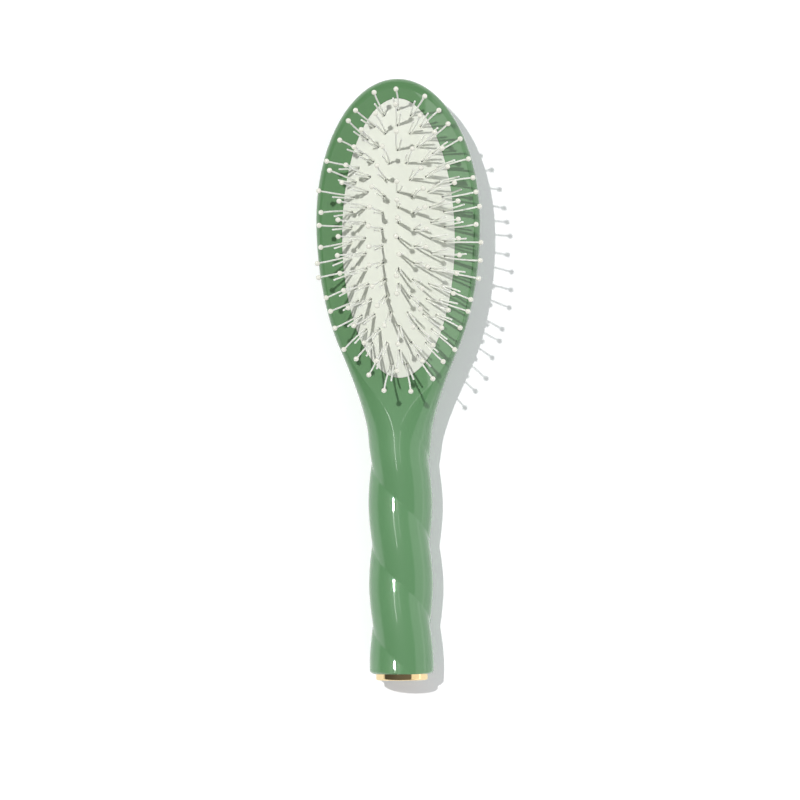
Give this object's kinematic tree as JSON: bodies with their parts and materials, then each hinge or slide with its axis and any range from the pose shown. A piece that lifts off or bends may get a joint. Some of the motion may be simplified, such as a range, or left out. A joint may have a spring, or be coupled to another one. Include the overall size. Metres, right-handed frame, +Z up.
{
  "type": "detangling brush",
  "caption": "Oval cushion hair brush with a two-strand twisted grip, a domed rubber cushion, ball-tipped pin tufts in rings and a round metal end cap.",
  "frame": {"origin": "on the table under the middle of the brush's box, with the brush lying on its back", "axes": "+Y from the butt to the tip of the head, +Z up out of the cushion along the pins, +X to the right seen from the pins with the head up"},
  "size_m": [0.0638, 0.225, 0.0499],
  "materials": {
    "lacquer": "sage green high-gloss lacquer",
    "brass": "polished pale gold",
    "cushion_rubber": "smooth matte cream rubber",
    "nylon": "cream satin nylon filament",
    "ball_resin": "cream glossy ball"
  },
  "bodies": {
    "body": {"brush_body": "lacquer", "end_cap": "brass", "cushion": "cushion_rubber"},
    "centre_row": {"centre_row_filaments": "nylon", "centre_row_ball_tips": "ball_resin"},
    "inner_ring": {"inner_ring_filaments": "nylon", "inner_ring_ball_tips": "ball_resin"},
    "middle_ring": {"middle_ring_filaments": "nylon", "middle_ring_ball_tips": "ball_resin"},
    "outer_ring": {"outer_ring_filaments": "nylon", "outer_ring_ball_tips": "ball_resin"}
  },
  "joints": [
    {"name": "centre_row_press", "type": "slide", "parent": "body", "child": "centre_row", "axis": [0, 0, -1], "range_m": [0, 0.003], "stiffness_N_per_m": 300, "deforming": ["cushion"]},
    {"name": "inner_ring_press", "type": "slide", "parent": "body", "child": "inner_ring", "axis": [0, 0, -1], "range_m": [0, 0.0024], "stiffness_N_per_m": 300},
    {"name": "middle_ring_press", "type": "slide", "parent": "body", "child": "middle_ring", "axis": [0, 0, -1], "range_m": [0, 0.0016], "stiffness_N_per_m": 300},
    {"name": "outer_ring_press", "type": "slide", "parent": "body", "child": "outer_ring", "axis": [0, 0, -1], "range_m": [0, 0.0008], "stiffness_N_per_m": 300}
  ],
  "couplings": [
    {"joint": "inner_ring_press", "follows": "centre_row_press", "ratio": 0.8},
    {"joint": "middle_ring_press", "follows": "centre_row_press", "ratio": 0.52},
    {"joint": "outer_ring_press", "follows": "centre_row_press", "ratio": 0.25}
  ]
}
